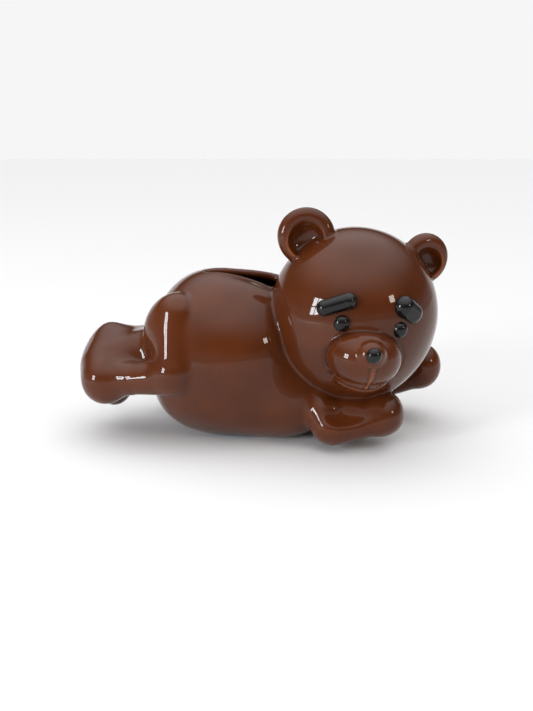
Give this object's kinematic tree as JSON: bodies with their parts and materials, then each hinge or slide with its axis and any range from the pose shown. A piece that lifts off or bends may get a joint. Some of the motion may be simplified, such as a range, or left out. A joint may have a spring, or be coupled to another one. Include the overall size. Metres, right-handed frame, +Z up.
{
  "type": "figural bear coin bank",
  "caption": "Reclining bear coin bank in brown glazed earthenware: hollow torso and head, coin slot in the back, black face details and a push-in base stopper.",
  "frame": {"origin": "bottom centre of the whole object, on the plane that the base stands on", "axes": "+Z up, +X from the feet to the head, so that the face looks towards -Y"},
  "size_m": [0.198, 0.1151, 0.1217],
  "materials": {
    "torso_glaze": "glossy brown glaze over earthenware",
    "head_glaze": "glossy brown glaze over earthenware",
    "ear_glaze": "glossy brown glaze over earthenware",
    "leg_glaze": "glossy brown glaze over earthenware",
    "arm_glaze": "glossy brown glaze over earthenware",
    "black_enamel": "glossy black underglaze enamel",
    "stopper_rubber": "matt moulded rubber"
  },
  "bodies": {
    "casting": {"torso_shell": "torso_glaze", "head_shell": "head_glaze", "right_ear": "ear_glaze", "left_ear": "ear_glaze", "right_leg": "leg_glaze", "left_leg": "leg_glaze", "right_arm": "arm_glaze", "left_arm": "arm_glaze", "nose_tip": "black_enamel", "right_eye": "black_enamel", "left_eye": "black_enamel", "right_brow": "black_enamel", "left_brow": "black_enamel"},
    "stopper_plug": {"stopper": "stopper_rubber"}
  },
  "joints": [
    {"name": "stopper_pull", "type": "slide", "parent": "casting", "child": "stopper_plug", "axis": [0, 0, -1], "range_m": [0, 0.03]}
  ]
}
